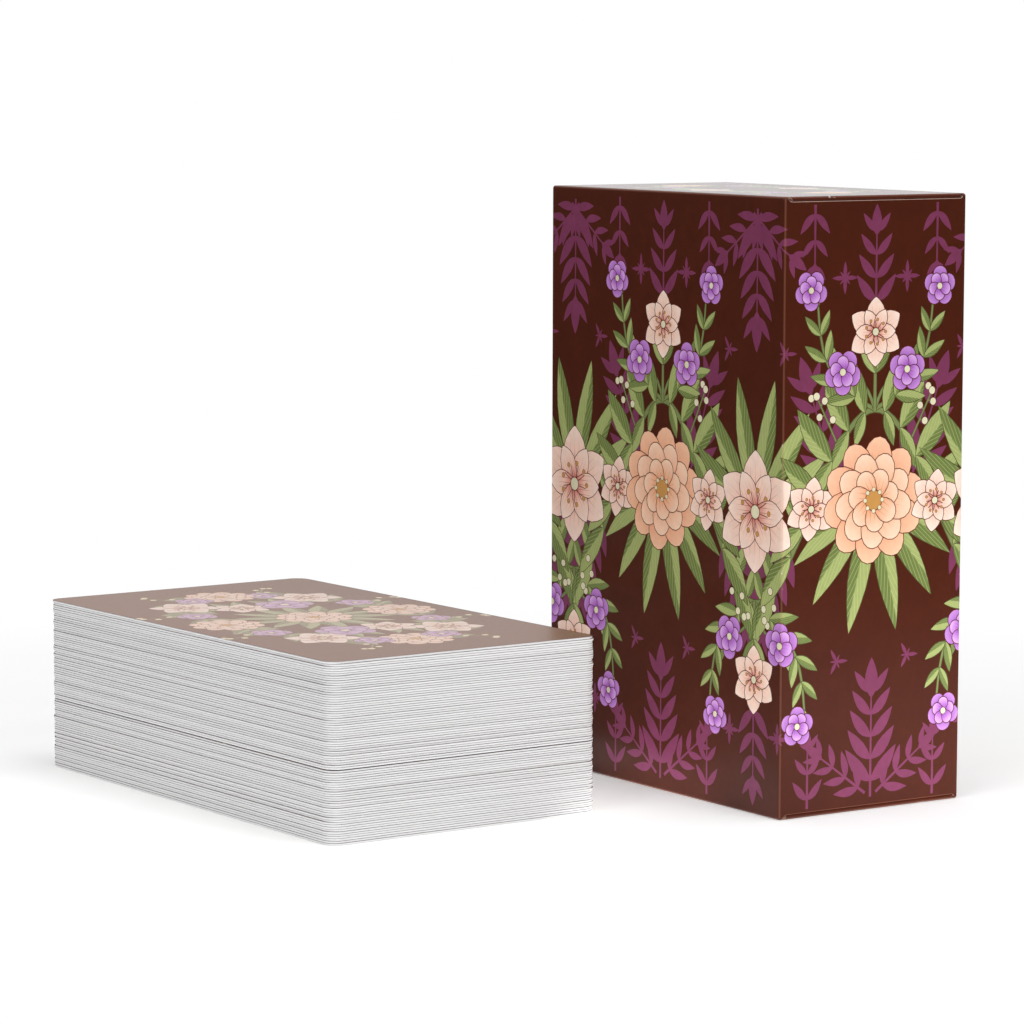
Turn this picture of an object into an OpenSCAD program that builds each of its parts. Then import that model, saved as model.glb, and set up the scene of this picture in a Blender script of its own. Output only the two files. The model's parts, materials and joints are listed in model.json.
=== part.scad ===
// Tarot card deck: a pack of 78 cards lying face down beside its printed tuck carton.
// The origin is the centre of the carton's base. +X points to the narrow wall that the tuck tabs
// slide behind, -Y to the wide wall that faces the pack, and +Z up.

/* [Cards] */
// Width of a card
card_w = 70; // [60:0.5:90]
// Length of a card
card_l = 121; // [100:0.5:150]
// Thickness of a card
card_t = 0.46; // [0.3:0.01:0.6]
// Radius of a card's corners
card_r = 3.2; // [2:0.1:8]
// Air between two neighbouring cards
card_air = 0.04; // [0.02:0.01:0.1]
// Extra air where the pack was last cut
cut_air = 0.16; // [0:0.02:0.5]
// Largest slip of a card along or across the pack
card_slip = 0.12; // [0:0.02:0.5]
// Largest turn of a card in the pack, in degrees
card_skew = 0.06; // [0:0.01:0.2]

/* [Place of the pack] */
// Distance from the carton's wide wall to the pack's near long side, at its middle
pack_gap = 28.9; // [15:0.1:80]
// Distance of the pack's middle from the carton's middle, towards the hinge wall
pack_shift = 45.3; // [0:0.1:100]
// Turn of the pack against the carton, in degrees
pack_turn = 1.7; // [-5:0.1:5]

/* [Carton] */
// Thickness of the carton's board
board = 0.6; // [0.4:0.05:0.9]
// Spare room in the carton across the cards' width
room_w = 17.5; // [8:0.5:40]
// Spare room in the carton through the pack's thickness
room_d = 10.1; // [4:0.1:30]
// Spare room in the carton along the cards' length
room_h = 12; // [4:0.5:40]
// Width of the hairline where the glued seam closes
seam_gap = 0.08; // [0.05:0.01:0.3]
// Width of the glue flap
glue_w = 12; // [6:0.5:20]
// Distance of the glue flap's ends from the ends of the wall it is glued to
glue_end = 7; // [4:0.5:20]
// Slope of the glue flap's ends, in degrees
glue_slope = 15; // [0:1:40]

/* [Closures] */
// Gap between a crease's round bead and the flap that turns on it
crease_gap = 0.05; // [0.03:0.01:0.15]
// Gap between two flaps that lie on each other
layer_gap = 0.1; // [0.05:0.01:0.3]
// Angle that the lid opens to
lid_open = 150; // [90:1:160]
// Gap round the lid, between its edges and the folds and cut edge of the walls
lid_gap = 0.1; // [0.05:0.01:0.3]
// Distance of a folded-in flap's root from the wall that it is folded from
root_gap = 0.3; // [0.1:0.05:0.6]
// Length of a tuck tab from its fold
tuck_l = 14; // [10:0.5:18]
// Radius of a tuck tab's free corners
tuck_r = 7; // [2:0.5:8]
// Share of the lid's turn that the tuck tab unfolds by as the lid opens
tuck_follow = 0.3; // [0:0.05:0.4]
// Least gap between a tuck tab's free edge and the wall it slides behind, as the lid swings
tuck_swing_gap = 0.5; // [0.2:0.1:1.5]
// Gap between a tuck tab's fold and the wall it slides behind
tuck_gap = 0.1; // [0.05:0.01:0.5]
// Gap between a tuck tab's sides and the wide walls
tuck_side_gap = 1.2; // [0.8:0.1:3]
// Gap between the free edges of two facing dust flaps
dust_meet_gap = 5.2; // [0.5:0.1:20]
// Distance of a dust flap from the inside of the hinge wall, at its fold
dust_hinge_gap = 2; // [1.5:0.1:6]
// Slope of a dust flap's edge towards the hinge wall, in degrees
dust_slope = 40; // [38:1:50]
// Distance of a dust flap from the inside of the tuck wall, at its fold
dust_tuck_gap = 4; // [3.5:0.1:10]
// Slope of a dust flap's edge towards the tuck wall, in degrees
dust_tuck_slope = 8; // [0:1:30]
// Radius of a dust flap's free corners
dust_r = 3; // [1:0.5:5]

/* [Hidden] */
$fn = 64;

// The pack: 22 major cards at the bottom, then four suits of 14 in groups that share a node
majors = 22;
suits = ["wands", "cups", "swords", "pentacles"];
group_names = [
    "ace_two", "three_four", "five_six", "seven_eight", "nine_ten", "page_knight_queen", "king"
];
group_counts = [2, 2, 2, 2, 2, 3, 1];
suit_count = count_before(len(group_counts));
card_count = majors + len(suits) * suit_count;

// The pack was cut above the first suit's ten
cut_below = majors + count_before(5);
card_pitch = card_t + card_air;
pack_h = card_count * card_pitch - card_air + cut_air;
slip_seed = 78;
slips_x = rands(-card_slip, card_slip, card_count, slip_seed);
slips_y = rands(-card_slip, card_slip, card_count, slip_seed + 1);
skews = rands(-card_skew, card_skew, card_count, slip_seed + 2);

// A crease's bead is as thick as two boards, so the print runs on round it from a wall to its flap
bead_r = board;

// The carton's outside, from what it holds
carton_w = card_w + room_w + 2 * board;
carton_d = pack_h + room_d + 2 * board;
closure_h = 2 * board + layer_gap;
carton_h = card_l + room_h + 2 * closure_h;

// Where the folds run, measured on the upper end: the lid's hinge, its tab's fold and the dust flaps'
hinge_x = bead_r - carton_w / 2;
tab_fold_x = carton_w / 2 - bead_r;
dust_fold_y = carton_d / 2 - bead_r;
fold_z = carton_h - bead_r;
seam_y = carton_d / 2 - board - seam_gap;

// The lid lies between the wide walls' folds, and the other flaps lie below it and behind the wall
lid_w = 2 * (dust_fold_y - bead_r - lid_gap);
dust_l = dust_fold_y - dust_meet_gap / 2;
tuck_w = carton_d - 2 * board - 2 * tuck_side_gap;

// A closed tuck tab leans inwards by what its free edge gains on the wall while the lid swings up
tuck_gain = (tuck_l * (1 + tuck_follow)) ^ 2 / (2 * (tab_fold_x - hinge_x));
tuck_lean = asin((tuck_gain + tuck_swing_gap) / tuck_l);

// The lid begins beside its bead, where its edge still clears the wall behind it when it is open
bead_clear_r = bead_r + crease_gap;
open_margin = 4;
lid_start_angle = 180 + acos(bead_r / bead_clear_r) - lid_open - open_margin;
lid_start = bead_clear_r * cos(lid_start_angle);

carton_color = [0.36, 0.17, 0.11];
inside_color = [0.9, 0.88, 0.84];
card_color = [0.93, 0.92, 0.9];

carton_nodes = [
    "carton_sleeve", "glue_flap",
    "lid_panel", "lid_tuck_tab", "lid_dust_flap_front", "lid_dust_flap_back",
    "base_panel", "base_tuck_tab", "base_dust_flap_front", "base_dust_flap_back"
];
major_nodes = [for (i = [0 : majors - 1]) major_node(i)];
minor_nodes = [
    for (s = [0 : len(suits) - 1], g = [0 : len(group_names) - 1]) minor_node(s, g)
];

// Cards of a suit that lie below one of its groups
function count_before(group) = group == 0 ? 0 : group_counts[group - 1] + count_before(group - 1);

function major_node(i) = str("major_", i < 10 ? "0" : "", i);

function minor_node(suit, group) = str(suits[suit], "_", group_names[group]);

function card_z(i) = i * card_pitch + (i < cut_below ? 0 : cut_air);

// A rectangle with round corners, centred on the origin
module round_rectangle(size_x, size_y, r) {
    square([size_x - 2 * r, size_y], center = true);
    square([size_x, size_y - 2 * r], center = true);
    for (x = [-1, 1], y = [-1, 1])
        translate([x * (size_x / 2 - r), y * (size_y / 2 - r)])
            circle(r = r);
}

// One card of the pack, counted from the bottom
module card(i) {
    pack_y = carton_d / 2 + pack_gap + card_w / 2;
    translate([-pack_shift, -pack_y, card_z(i)])
        rotate(pack_turn)
            translate([slips_x[i], slips_y[i], 0])
                rotate(skews[i])
                    linear_extrude(card_t)
                        round_rectangle(card_l, card_w, card_r);
}

module major_card(i) {
    color(card_color)
        card(i);
}

module minor_cards(suit, group) {
    first = majors + suit * suit_count + count_before(group);
    color(card_color)
        for (i = [0 : group_counts[group] - 1])
            card(first + i);
}

// The round bead of a crease along Y
module bead(length, r = bead_r) {
    rotate([90, 0, 0])
        cylinder(r = r, h = length, center = true);
}

// A flap that turns on a bead along Y at the origin, along +X from its root, with its printed side on top
module flap(fold_length, root, top) {
    cut_length = fold_length + 2 * board;
    difference() {
        translate([0, 0, top - board])
            linear_extrude(board)
                difference() {
                    children();
                    translate([root - 2 * board, -cut_length / 2])
                        square([2 * board, cut_length]);
                }
        bead(cut_length, bead_clear_r);
    }
}

// Turns what is made for the carton's upper end over to its lower end
module at_lower_end() {
    translate([0, 0, carton_h])
        mirror([0, 0, 1])
            children();
}

// The creases at one end of the sleeve: the lid's on the hinge wall, and one on each wide wall
module sleeve_creases() {
    dust_start_x = hinge_x + bead_r + seam_gap;
    dust_length = tab_fold_x - dust_start_x;
    translate([hinge_x, 0, fold_z])
        bead(2 * seam_y);
    for (side = [-1, 1])
        translate([tab_fold_x, side * dust_fold_y, fold_z]) {
            translate([-dust_length / 2, 0, 0])
                rotate(90)
                    bead(dust_length);
            sphere(r = bead_r);
        }
}

// What the tuck wall lacks at one end, where the lid folds over into its tab
module tuck_cutout() {
    r = bead_r + lid_gap;
    translate([tab_fold_x - board, 0, fold_z + r])
        rotate([90, 0, 90])
            linear_extrude(3 * board)
                round_rectangle(lid_w + 2 * lid_gap, 4 * r, r);
}

// The four walls: one sheet folded round, with cut edges on the tuck wall and a seam at one corner
module carton_sleeve() {
    wall_z = carton_h - fold_z;
    color(carton_color) {
        difference() {
            translate([0, 0, wall_z])
                linear_extrude(carton_h - 2 * wall_z)
                    difference() {
                        round_rectangle(carton_w, carton_d, bead_r);
                        square([carton_w - 2 * board, carton_d - 2 * board], center = true);
                        translate([-carton_w / 2 - board, seam_y])
                            square([3 * board, seam_gap]);
                    }
            tuck_cutout();
            at_lower_end()
                tuck_cutout();
        }
        sleeve_creases();
        at_lower_end()
            sleeve_creases();
    }
}

// The strip inside the back wall that the seam is glued to
module glue_flap() {
    low = carton_h - fold_z + glue_end;
    high = fold_z - glue_end;
    rise = glue_w * tan(glue_slope);
    color(inside_color)
        translate([hinge_x, carton_d / 2 - board, 0])
            rotate([90, 0, 0])
                linear_extrude(board)
                    polygon([[0, low], [glue_w, low + rise], [glue_w, high - rise], [0, high]]);
}

module lid_panel() {
    length = tab_fold_x - hinge_x;
    bead_end = lid_w / 2 - bead_r;
    color(carton_color)
        translate([hinge_x, 0, fold_z]) {
            flap(lid_w, lid_start, board)
                translate([0, -lid_w / 2])
                    square([length, lid_w]);
            translate([length, 0, 0]) {
                bead(2 * bead_end);
                for (side = [-1, 1])
                    translate([0, side * bead_end, 0])
                        sphere(r = bead_r);
            }
        }
}

module lid_tuck_tab() {
    color(carton_color)
        translate([tab_fold_x, 0, fold_z])
            rotate([0, 90 + tuck_lean, 0])
                flap(tuck_w, root_gap, -tuck_gap) {
                    translate([0, -tuck_w / 2])
                        square([tuck_l - tuck_r, tuck_w]);
                    translate([0, tuck_r - tuck_w / 2])
                        square([tuck_l, tuck_w - 2 * tuck_r]);
                    for (side = [-1, 1])
                        translate([tuck_l - tuck_r, side * (tuck_w / 2 - tuck_r)])
                            circle(r = tuck_r);
                }
}

// The outline of a dust flap, with the tuck wall towards -Y and its free corners rounded
module dust_outline() {
    hinge_side = carton_w / 2 - board - dust_hinge_gap;
    tuck_side = dust_tuck_gap + board - carton_w / 2;
    hinge_run = dust_l * tan(dust_slope);
    tuck_run = dust_l * tan(dust_tuck_slope);
    corner_x = dust_l - dust_r;
    hinge_corner_y = hinge_side - corner_x * tan(dust_slope) - dust_r / cos(dust_slope);
    tuck_corner_y = tuck_side + corner_x * tan(dust_tuck_slope) + dust_r / cos(dust_tuck_slope);
    difference() {
        polygon([
            [0, tuck_side],
            [dust_l, tuck_side + tuck_run],
            [dust_l, hinge_side - hinge_run],
            [0, hinge_side]
        ]);
        dust_corner(corner_x, hinge_corner_y, 90 - dust_slope);
        mirror([0, 1])
            dust_corner(corner_x, -tuck_corner_y, 90 - dust_tuck_slope);
    }
}

// What is cut off a free corner that turns through an angle, to leave a round of dust_r
module dust_corner(x, y, turn) {
    reach = dust_r * (1 + tan(turn / 2));
    difference() {
        translate([x, y])
            polygon([
                [dust_r, 0],
                [2 * reach, 0],
                [2 * reach, 2 * reach],
                2 * reach * [cos(turn), sin(turn)],
                dust_r * [cos(turn), sin(turn)],
                [0, 0]
            ]);
        translate([x, y])
            circle(r = dust_r);
    }
}

module lid_dust_flap_front() {
    color(carton_color)
        translate([0, -dust_fold_y, fold_z])
            rotate(90)
                flap(carton_w, root_gap, -layer_gap)
                    dust_outline();
}

module lid_dust_flap_back() {
    mirror([0, 1, 0])
        lid_dust_flap_front();
}

module base_panel() {
    at_lower_end()
        lid_panel();
}

module base_tuck_tab() {
    at_lower_end()
        lid_tuck_tab();
}

module base_dust_flap_front() {
    at_lower_end()
        lid_dust_flap_front();
}

module base_dust_flap_back() {
    at_lower_end()
        lid_dust_flap_back();
}

carton_sleeve();
glue_flap();
lid_panel();
lid_tuck_tab();
lid_dust_flap_front();
lid_dust_flap_back();
base_panel();
base_tuck_tab();
base_dust_flap_front();
base_dust_flap_back();
for (i = [0 : majors - 1])
    major_card(i);
for (s = [0 : len(suits) - 1], g = [0 : len(group_names) - 1])
    minor_cards(s, g);
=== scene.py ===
"""Looks of a tarot card deck: a pack of cards lying face down beside its printed tuck carton."""
import json
from collections import namedtuple
from math import atan2, cos, pi, radians, sin, sqrt, tau

import bpy
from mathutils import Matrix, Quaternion, Vector
from mathutils.geometry import delaunay_2d_cdt


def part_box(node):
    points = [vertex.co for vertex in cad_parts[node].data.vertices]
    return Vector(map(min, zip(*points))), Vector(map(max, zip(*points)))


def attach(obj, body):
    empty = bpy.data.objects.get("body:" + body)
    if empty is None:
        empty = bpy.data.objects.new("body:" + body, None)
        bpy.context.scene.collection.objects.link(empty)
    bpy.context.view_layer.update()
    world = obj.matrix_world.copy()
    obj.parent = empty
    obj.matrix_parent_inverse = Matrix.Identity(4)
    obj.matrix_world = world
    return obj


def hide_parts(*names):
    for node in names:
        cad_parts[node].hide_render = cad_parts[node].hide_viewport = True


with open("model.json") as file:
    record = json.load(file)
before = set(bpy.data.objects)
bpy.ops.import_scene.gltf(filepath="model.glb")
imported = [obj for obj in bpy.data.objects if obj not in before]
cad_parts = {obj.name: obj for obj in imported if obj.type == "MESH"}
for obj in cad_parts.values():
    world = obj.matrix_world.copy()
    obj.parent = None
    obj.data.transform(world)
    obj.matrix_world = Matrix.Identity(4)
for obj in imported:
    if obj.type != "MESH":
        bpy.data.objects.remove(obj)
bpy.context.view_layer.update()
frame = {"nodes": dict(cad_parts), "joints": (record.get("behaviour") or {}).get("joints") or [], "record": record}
nodes = frame["nodes"]
joint_at = {j["name"]: [1000 * c for c in j.get("pos_m", (0, 0, 0))] for j in frame["joints"]}

# Sizes are in millimetres up to the point where a mesh is made
MM = 0.001
# What counts as no distance, and what rounding may leave
NEAR, ROUNDING = 1e-3, 1e-6
low, high = (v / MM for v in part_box("carton_sleeve"))
carton_w, carton_d, carton_h = high - low
flap_low, flap_high = (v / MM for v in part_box("lid_dust_flap_front"))
board = flap_high.z - flap_low.z
lid_low, lid_high = (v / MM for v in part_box("lid_panel"))
lid_w = lid_high.y - lid_low.y
hinge_x, _, fold_z = joint_at["lid_hinge"]
tab_fold_x = joint_at["tuck_tab_fold"][0]
fold_r = board


def levels_of(node):
    """The heights of the faces of a node's cards, from the lowest up."""
    return sorted({round(v.co.z / MM, 3) for v in nodes[node].data.vertices})


heights = levels_of("wands_nine_ten")
card_t, card_pitch = heights[1] - heights[0], heights[2] - heights[0]
cut_offset = levels_of("wands_page_knight_queen")[0] % card_pitch

# Gaps as in the part's source, and how far the print runs on round the creases
LID_GAP = 0.1
CREASE_GAP = 0.05
CREASE_CORE = 0.08
CREASE_TURN = radians(150)
TAB_CREASE_TURN = radians(140)

# The tuck wall's cut edge: its radius at the corners, and its bevel
EDGE_R = board + LID_GAP
EDGE_RISE = 0.25
ARC_STEPS = 8


def tone(srgb):
    """A colour given as 0xRRGGBB, as linear RGBA."""
    shares = [c / 255 for c in srgb.to_bytes(3, "big")]
    linear = [c / 12.92 if c <= 0.04045 else ((c + 0.055) / 1.055) ** 2.4 for c in shares]
    return (*linear, 1.0)


# Materials


class Tree:
    """Adds shader nodes and links them. A value that is a socket is linked, and any other is set."""

    def __init__(self, owner):
        owner.use_nodes = True
        self.owner, self.tree = owner, owner.node_tree
        self.tree.nodes.clear()

    def add(self, kind, inputs=None, **settings):
        node = self.tree.nodes.new("ShaderNode" + kind)
        for key, value in settings.items():
            setattr(node, key, value)
        for key, value in (inputs or {}).items():
            if isinstance(value, bpy.types.NodeSocket):
                self.tree.links.new(value, node.inputs[key])
            else:
                node.inputs[key].default_value = value
        return node

    def math(self, operation, *values, clamp=False):
        return self.add("Math", dict(enumerate(values)), operation=operation, use_clamp=clamp).outputs[0]

    def times(self, a, b):
        return self.math("MULTIPLY", a, b)

    def measure(self, operation, a, b):
        """A number from two vectors."""
        return self.add("VectorMath", {0: a, 1: b}, operation=operation).outputs["Value"]

    def mix(self, factor, a, b):
        return self.add("Mix", {0: factor, 6: a, 7: b}, data_type="RGBA").outputs[2]

    def remap(self, value, from_low, from_high, to_low=0.0, to_high=1.0):
        values = {0: value, 1: from_low, 2: from_high, 3: to_low, 4: to_high}
        return self.add("MapRange", values, interpolation_type="SMOOTHSTEP").outputs[0]

    def noise(self, vector, scale, detail=2.0):
        return self.add("TexNoise", {"Vector": vector, "Scale": scale, "Detail": detail}).outputs[0]

    def ramp(self, value, stops):
        node = self.add("ValToRGB", {0: value})
        elements = node.color_ramp.elements
        while len(elements) < len(stops):
            elements.new(1.0)
        for element, stop in zip(elements, stops):
            element.position, element.color = stop
        return node.outputs[0]

    def place(self):
        """The point's place on its piece at rest, as a vector and as x, y and z."""
        vector = self.add("TexCoord").outputs["Object"]
        return vector, self.add("SeparateXYZ", {0: vector}).outputs

    def roughness(self, vector, least, most):
        return self.remap(self.noise(vector, FIBRE), 0.3, 0.7, least, most)

    def bump(self, height, strength, distance):
        return self.add("Bump", {"Height": height, "Strength": strength, "Distance": distance}).outputs[0]

    def output(self, surface):
        self.add("OutputMaterial", {"Surface": surface})
        return self.owner

    def paper(self, colour, roughness, normal, gloss=None):
        inputs = {"Base Color": colour, "Roughness": roughness, "Normal": normal}
        return self.output(self.add("BsdfPrincipled", inputs | (gloss or {})).outputs[0])


def new_material(name):
    return Tree(bpy.data.materials.new(name))


# Paper fibres and print, in features per metre
MOTTLE, FIBRE, TOOTH = 700.0, 9000.0, 3000.0
BROWN = tone(0x4F2214)
FACE = tone(0xF0E8D6)
PAPER = tone(0xECE8E2)
BOARD = tone(0xD6D0C6)
PRINT_GLOSS = {"Specular IOR Level": 0.14, "Sheen Roughness": 0.5, "Sheen Tint": (1.0, 0.64, 0.46, 1.0)}

# Wear and a painted highlight along the carton's folds: where they fade, in metres, their lighter tone and its
# depth, and chips of bare paper
WEAR_AND_HIGHLIGHT_REACH = (0.0001, 0.0005)
WORN_AND_HIGHLIGHT = tone(0xBE8068)
WORN_AND_HIGHLIGHT_DEPTH = 0.26
CHIPS = 330.0

Finish = namedtuple("Finish", "name roughness sheen folded saturation brightness")
CARTON = Finish("carton", (0.13, 0.2), 0.0, True, 1.0, 1.0)
# The cards' inks are made duller and a little darker, standing in for the glare that fades their print
CARDS = Finish("card", (0.26, 0.36), 0.4, False, 0.62, 0.86)


def fold_wear_and_highlight(tree, xyz):
    """1 along the carton's folds, where wear and a painted highlight lighten the print, and 0 away from them."""
    side = tree.math("SUBTRACT", carton_w / 2 * MM, tree.math("ABSOLUTE", xyz[0]))
    front = tree.math("SUBTRACT", carton_d / 2 * MM, tree.math("ABSOLUTE", xyz[1]))
    middle = carton_h / 2 * MM
    end = tree.math("SUBTRACT", middle, tree.math("ABSOLUTE", tree.math("SUBTRACT", xyz[2], middle)))
    upright = tree.math("MAXIMUM", side, front)
    level = tree.math("MAXIMUM", tree.math("MINIMUM", side, front), end)
    return tree.remap(tree.math("MINIMUM", upright, level), *WEAR_AND_HIGHLIGHT_REACH, 1.0, 0.0)


def printed(tree, colour, finish):
    """A satin print on coated paper: faint mottle and fine tooth, and on the carton its folds lighter, partly from
    wear and partly as a painted highlight.
    """
    vector, xyz = tree.place()
    mottle = tree.remap(tree.noise(vector, MOTTLE, 3.0), 0.25, 0.75, 0.96, 1.04)
    colour = tree.add("HueSaturation", {"Value": mottle, "Color": colour}).outputs[0]
    if finish.folded:
        worn_and_highlight = fold_wear_and_highlight(tree, xyz)
        # Folds lighter: partly wear, partly a painted highlight; the chips below are bare paper
        colour = tree.mix(tree.times(worn_and_highlight, WORN_AND_HIGHLIGHT_DEPTH), colour, WORN_AND_HIGHLIGHT)
        chips = tree.remap(tree.noise(vector, CHIPS, 4.0), 0.66, 0.72)
        colour = tree.mix(tree.times(worn_and_highlight, chips), colour, PAPER)
    bump = tree.bump(tree.noise(vector, TOOTH, 4.0), 0.1, 0.00003)
    gloss = PRINT_GLOSS | {"Sheen Weight": finish.sheen}
    return tree.paper(colour, tree.roughness(vector, *finish.roughness), bump, gloss)


def artwork(tree, colour, finish):
    """Flowers and leaves, duller on the cards than on the carton: painted glare that fades the cards' print."""
    inputs = {"Saturation": finish.saturation, "Value": finish.brightness, "Color": colour}
    return printed(tree, tree.add("HueSaturation", inputs).outputs[0], finish)


def motif_axes(tree):
    """How far along its shape a point of the print lies, and how far across."""
    vector = tree.add("Attribute", attribute_name="motif").outputs["Vector"]
    return tree.add("SeparateXYZ", {0: vector}).outputs[:2]


def ink(finish, name, root, middle, tip, line, streaks, strength):
    """An ink whose tone runs along its shape, from root to tip, with fine drawn lines at the root."""
    tree = new_material(f"{finish.name}_{name}")
    along, across = motif_axes(tree)
    colour = tree.ramp(along, ((0.0, root), (0.45, middle), (1.0, tip)))
    wave = tree.math("ABSOLUTE", tree.math("SINE", tree.times(across, streaks)))
    reach = tree.remap(along, 0.25, 0.85, strength, 0.0)
    lines = tree.times(tree.remap(wave, 0.22, 0.05), reach)
    return artwork(tree, tree.mix(lines, colour, line), finish)


def leaf_ink(finish, name, dark, light, rib):
    """A leaf's ink: one half darker, with side veins."""
    tree = new_material(f"{finish.name}_{name}")
    along, across = motif_axes(tree)
    colour = tree.mix(tree.remap(across, -0.08, 0.08), dark, light)
    slant = tree.times(tree.math("ABSOLUTE", across), 9.0)
    slant = tree.math("SUBTRACT", tree.times(along, 24.0), slant)
    vein = tree.remap(tree.math("ABSOLUTE", tree.math("SINE", slant)), 0.3, 0.06, 0.0, 0.5)
    return artwork(tree, tree.mix(vein, colour, rib), finish)


def flat_ink(finish, name, colour):
    """An even ink, with the print's own mottle."""
    tree = new_material(f"{finish.name}_{name}")
    vector, _ = tree.place()
    shade = tuple(0.93 * c for c in colour[:3]) + (1.0,)
    cloud = tree.remap(tree.noise(vector, 160.0, 2.0), 0.35, 0.65)
    return printed(tree, tree.mix(cloud, shade, colour), finish)


OUTLINE = tone(0x5C241A)
FLAT_INKS = {
    "ground": BROWN,
    "plum": tone(0x803C5C),
    "line": OUTLINE,
    "moss": tone(0x545432),
    "stem": tone(0x808C56),
    "cream": tone(0xE8E2C0),
    "ochre": tone(0xCE9652),
    "umber": tone(0x783E24),
    "edge": tone(0xBE9E90),
    # Lighter brown: a painted highlight along the tuck wall's foot
    "rubbed": tone(0x764636),
    "face": FACE,
}

# Tones at the root, middle and tip, and of the drawn lines, with how many lines and how strong
PETAL_INKS = {
    "peach": (tone(0xDE7652), tone(0xF6B690), tone(0xFFDABE), OUTLINE, 7.0, 0.8),
    "apricot": (tone(0xCE6442), tone(0xF0A078), tone(0xFCCAA8), OUTLINE, 7.0, 0.8),
    "blush": (tone(0xC44E48), tone(0xFACEBA), tone(0xFFE6D6), tone(0x962E2A), 8.0, 0.9),
    "lilac": (tone(0x863E9E), tone(0xBC78D0), tone(0xE2B2EA), tone(0x5C246C), 6.0, 0.8),
    "violet": (tone(0x6C3486), tone(0xA25EBA), tone(0xCC92DA), tone(0x4E1C5E), 6.0, 0.8),
}
LEAF_INK = (tone(0x708044), tone(0xA4B06C), tone(0xD8DAA4))


def make_inks(finish):
    inks = {name: flat_ink(finish, name, colour) for name, colour in FLAT_INKS.items()}
    inks |= {name: ink(finish, name, *settings) for name, settings in PETAL_INKS.items()}
    inks["leaf"] = leaf_ink(finish, "leaf", *LEAF_INK)
    return inks


def board_inside():
    """The unprinted side of the carton's board, pale and slightly fibrous."""
    tree = new_material("board_inside")
    vector, _ = tree.place()
    fibres = tree.remap(tree.noise(vector, 2200.0, 4.0), 0.3, 0.75)
    colour = tree.mix(fibres, tone(0xC6BEB2), BOARD)
    specks = tree.remap(tree.noise(vector, 1500.0, 1.0), 0.72, 0.78, 0.0, 0.4)
    colour = tree.mix(specks, colour, tone(0x968876))
    bump = tree.bump(tree.noise(vector, TOOTH, 4.0), 0.3, 0.00005)
    return tree.paper(colour, tree.roughness(vector, 0.7, 0.9), bump)


# The least cosine at which a face counts as facing an axis
FACING = 0.7


def two_sided(name, axis):
    """Board printed on the side that faces an axis, with its bare side and its cut edges pale."""
    tree = new_material(name)
    facing = tree.measure("DOT_PRODUCT", tree.add("TexCoord").outputs["Normal"], axis)
    return printed(tree, tree.mix(tree.math("GREATER_THAN", facing, FACING), BOARD, BROWN), CARTON)


CARD_WHITES = (tone(0xF3F3F4), tone(0xFAFAFB))
PRINT_AND_SHADE_EDGE = tone(0x847F7D)
FRAYED = tone(0xBEBCBA)


def card_stock(name, offset):
    """Card edges: white, each card a little different, with a thin dark line at each face, partly the print and
    partly painted shade between the cards.
    """
    tree = new_material(name)
    vector, xyz = tree.place()
    level = tree.math("DIVIDE", tree.math("SUBTRACT", xyz[2], offset * MM), card_pitch * MM)
    number = tree.math("FLOOR", level)
    height = tree.times(tree.math("FRACT", level), card_pitch / card_t)
    each = tree.add("TexWhiteNoise", {"W": number}, noise_dimensions="1D").outputs["Value"]
    colour = tree.mix(each, *CARD_WHITES)
    # Dark line at each face: partly print, partly painted shade between the cards
    print_and_shade_line = tree.math("MAXIMUM", tree.remap(height, 0.66, 0.9), tree.remap(height, 0.14, 0.02))
    depth = tree.times(print_and_shade_line, tree.remap(each, 0.0, 1.0, 0.7, 0.5))
    colour = tree.mix(depth, colour, PRINT_AND_SHADE_EDGE)
    stretch = tree.add("Mapping", {"Vector": vector, "Scale": (300.0, 300.0, 9000.0)}).outputs[0]
    fray = tree.remap(tree.noise(stretch, 1.0, 3.0), 0.35, 0.7, 0.0, 0.05)
    colour = tree.mix(fray, colour, FRAYED)
    upward = tree.add("SeparateXYZ", {0: tree.add("TexCoord").outputs["Normal"]}).outputs[2]
    colour = tree.mix(tree.math("GREATER_THAN", upward, FACING), colour, BROWN)
    colour = tree.mix(tree.math("LESS_THAN", upward, -FACING), colour, FACE)
    bump = tree.bump(tree.noise(stretch, 2.0, 3.0), 0.08, 0.00002)
    return tree.paper(colour, tree.roughness(vector, 0.5, 0.68), bump)


# Artwork: flat shapes in painter's order, each with an axis that its ink's shading follows

Shape = namedtuple("Shape", "outline ink origin axis length half")
LINE = 0.2
BLADE_STEPS = 9


def xy(x, y):
    return Vector((x, y))


def polar(angle, length=1.0):
    return xy(length * cos(angle), length * sin(angle))


def side_of(axis):
    return xy(-axis.y, axis.x)


ORIGIN = xy(0, 0)


def leaf_form(t):
    return sin(pi * t**0.85) ** 0.9


def swell(t, crest, base):
    """A petal's half width below its crest."""
    return base + (1 - base) * sin(pi / 2 * t / crest)


def petal_form(t, crest=0.62):
    if t < crest:
        return swell(t, crest, 0.3)
    return sqrt(max(0.0, 1 - ((t - crest) / (1 - crest)) ** 2))


def pointed_form(t, crest=0.55):
    if t < crest:
        return swell(t, crest, 0.35)
    return cos(pi / 2 * (t - crest) / (1 - crest)) ** 0.8


def fills(colour, line, line_ink):
    """What is drawn for a shape, the lowest first: how far it grows, and its ink."""
    return ([(line, line_ink)] if line else []) + [(0.0, colour)]


def band(spine):
    """A band's outline, from its middle points and their sideways reach, without points that fall together."""
    out = []
    for point in [p - reach for p, reach in spine] + [p + reach for p, reach in spine[::-1]]:
        if not out or (point - out[-1]).length > NEAR:
            out.append(point)
    if (out[0] - out[-1]).length <= NEAR:
        out.pop()
    return out


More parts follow.
